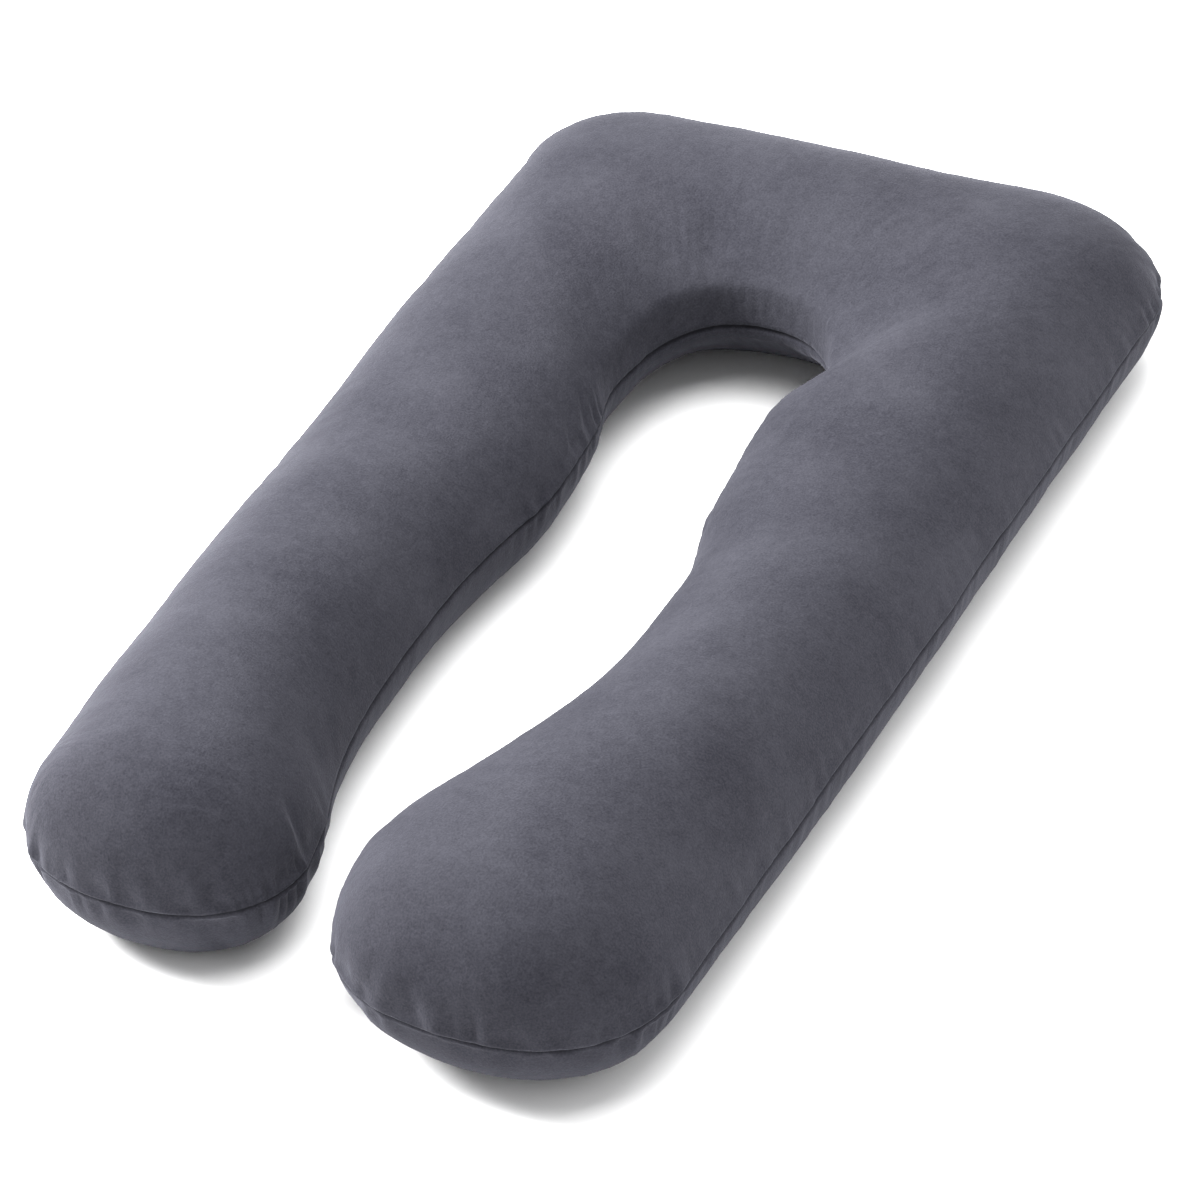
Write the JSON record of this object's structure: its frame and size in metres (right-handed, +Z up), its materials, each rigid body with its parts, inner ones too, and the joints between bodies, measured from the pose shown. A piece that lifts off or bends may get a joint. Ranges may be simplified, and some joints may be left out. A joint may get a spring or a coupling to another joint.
{
  "type": "u-shaped pregnancy pillow",
  "caption": "Full-length u-shaped pregnancy pillow in dark slate-grey short-pile velour, filled, with one plain seam all round, a round neck arch and two rounded foot ends.",
  "frame": {"origin": "middle of the footprint, on the surface that the pillow lies on", "axes": "+Y from the feet to the closed head end, +X to the right leg, +Z up through the thickness"},
  "size_m": [0.7935, 1.4538, 0.2355],
  "materials": {
    "velour": "short-pile velour, matt, with a soft sheen at grazing angles"
  },
  "bodies": {
    "root": {"pillow": "velour"}
  },
  "joints": []
}
